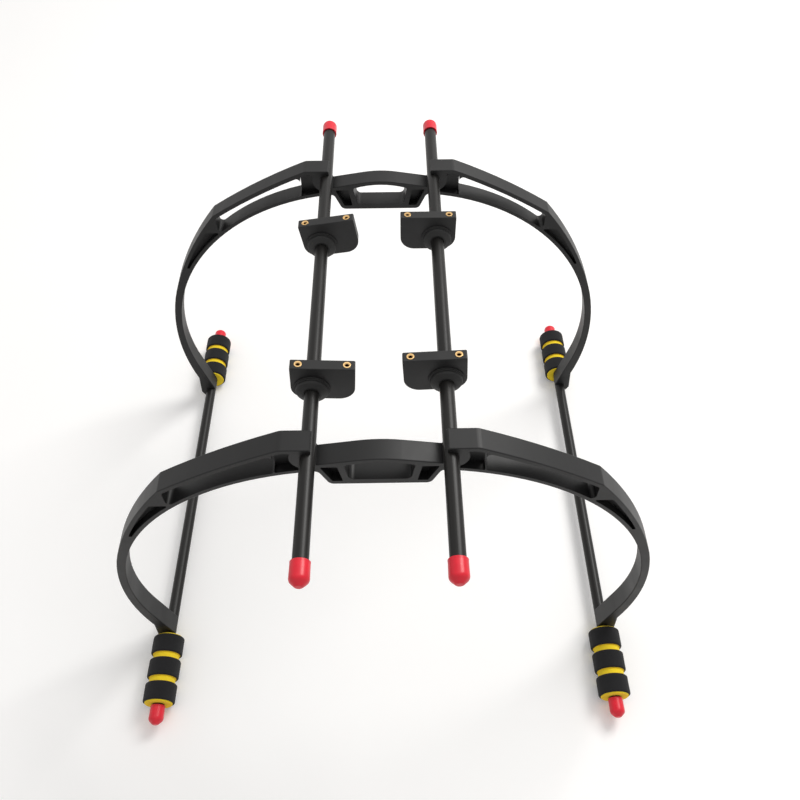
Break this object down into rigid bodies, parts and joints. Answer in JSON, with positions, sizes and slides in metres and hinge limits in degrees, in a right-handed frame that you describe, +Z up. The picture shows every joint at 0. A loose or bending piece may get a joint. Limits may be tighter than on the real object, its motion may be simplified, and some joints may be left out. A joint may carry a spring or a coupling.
{
  "type": "drone landing gear",
  "caption": "Tall skid landing gear: moulded arches carry tubular rails and skids, with foam grips, soft end caps and swivelling mount plates.",
  "frame": {"origin": "on the ground, at the middle of the footprint", "axes": "+X to the right, +Y from front to back along the tubes, +Z up"},
  "size_m": [0.4234, 0.458, 0.3174],
  "materials": {
    "moulded_black": "satin moulded nylon",
    "plate_black": "satin moulded nylon",
    "tube_black": "satin carbon tube",
    "bush_rubber": "matt soft rubber",
    "black_foam": "matt closed-cell foam",
    "yellow_foam": "matt closed-cell foam",
    "red_vinyl": "glossy dipped vinyl",
    "brass": "turned brass"
  },
  "bodies": {
    "root": {"front_arch": "moulded_black", "rear_arch": "moulded_black", "rail_left": "tube_black", "skid_tube_left": "tube_black", "rail_right": "tube_black", "skid_tube_right": "tube_black", "rail_cap_front_left": "red_vinyl", "rail_cap_rear_left": "red_vinyl", "skid_cap_front_left": "red_vinyl", "skid_cap_rear_left": "red_vinyl", "rail_cap_front_right": "red_vinyl", "rail_cap_rear_right": "red_vinyl", "skid_cap_front_right": "red_vinyl", "skid_cap_rear_right": "red_vinyl", "grip_core_front_left": "yellow_foam", "grip_core_rear_left": "yellow_foam", "grip_rings_front_left": "black_foam", "grip_rings_rear_left": "black_foam", "grip_core_front_right": "yellow_foam", "grip_core_rear_right": "yellow_foam", "grip_rings_front_right": "black_foam", "grip_rings_rear_right": "black_foam"},
    "bush_front_left": {"rubber_bush_front_left": "bush_rubber"},
    "plate_front_left": {"mount_plate_front_left": "plate_black", "brass_inserts_front_left": "brass"},
    "bush_front_right": {"rubber_bush_front_right": "bush_rubber"},
    "plate_front_right": {"mount_plate_front_right": "plate_black", "brass_inserts_front_right": "brass"},
    "bush_rear_left": {"rubber_bush_rear_left": "bush_rubber"},
    "plate_rear_left": {"mount_plate_rear_left": "plate_black", "brass_inserts_rear_left": "brass"},
    "bush_rear_right": {"rubber_bush_rear_right": "bush_rubber"},
    "plate_rear_right": {"mount_plate_rear_right": "plate_black", "brass_inserts_rear_right": "brass"}
  },
  "joints": [
    {"name": "bush_slide_front_left", "type": "slide", "parent": "root", "child": "bush_front_left", "axis": [0, 1, 0], "range_m": [-0.0315, 0.0685]},
    {"name": "plate_swivel_front_left", "type": "hinge", "parent": "bush_front_left", "child": "plate_front_left", "pos_m": [-0.045, -0.0825, 0.2935], "axis": [0, 1, 0], "continuous": true},
    {"name": "bush_slide_front_right", "type": "slide", "parent": "root", "child": "bush_front_right", "axis": [0, 1, 0], "range_m": [-0.0381, 0.0619]},
    {"name": "plate_swivel_front_right", "type": "hinge", "parent": "bush_front_right", "child": "plate_front_right", "pos_m": [0.045, -0.0759, 0.2935], "axis": [0, 1, 0], "continuous": true},
    {"name": "bush_slide_rear_left", "type": "slide", "parent": "root", "child": "bush_rear_left", "axis": [0, 1, 0], "range_m": [-0.0561, 0.0704]},
    {"name": "plate_swivel_rear_left", "type": "hinge", "parent": "bush_rear_left", "child": "plate_rear_left", "pos_m": [-0.045, 0.0611, 0.2935], "axis": [0, 1, 0], "continuous": true},
    {"name": "bush_slide_rear_right", "type": "slide", "parent": "root", "child": "bush_rear_right", "axis": [0, 1, 0], "range_m": [-0.0625, 0.064]},
    {"name": "plate_swivel_rear_right", "type": "hinge", "parent": "bush_rear_right", "child": "plate_rear_right", "pos_m": [0.045, 0.0675, 0.2935], "axis": [0, 1, 0], "continuous": true}
  ]
}
